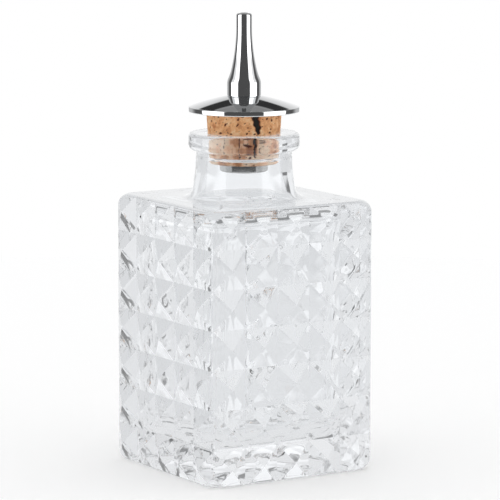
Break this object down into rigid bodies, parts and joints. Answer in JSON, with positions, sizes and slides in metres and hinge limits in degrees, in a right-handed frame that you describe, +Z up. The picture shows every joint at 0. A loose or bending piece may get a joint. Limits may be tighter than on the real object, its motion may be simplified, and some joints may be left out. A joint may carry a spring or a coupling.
{
  "type": "bitters bottle",
  "caption": "Square clear-glass bitters bottle with diamond-point studs, a round lipped neck and a lift-out cork dasher stopper with a chromed spout and drip cap.",
  "frame": {"origin": "middle of the foot, on the surface that the bottle stands on", "axes": "+Z up along the neck and spout; +X and +Y square to the four studded faces; the front face looks towards -Y"},
  "size_m": [0.058, 0.058, 0.133],
  "materials": {
    "clear_glass": "clear polished pressed glass",
    "natural_cork": "natural cork, matt, with small dark pores",
    "chrome": "mirror chrome plate"
  },
  "bodies": {
    "glass": {"bottle": "clear_glass"},
    "stopper": {"cork": "natural_cork", "drip_cap": "chrome", "spout": "chrome", "retaining_nut": "chrome"}
  },
  "joints": [
    {"name": "stopper_lift", "type": "slide", "parent": "glass", "child": "stopper", "axis": [0, 0, 1], "range_m": [0, 0.04]}
  ]
}
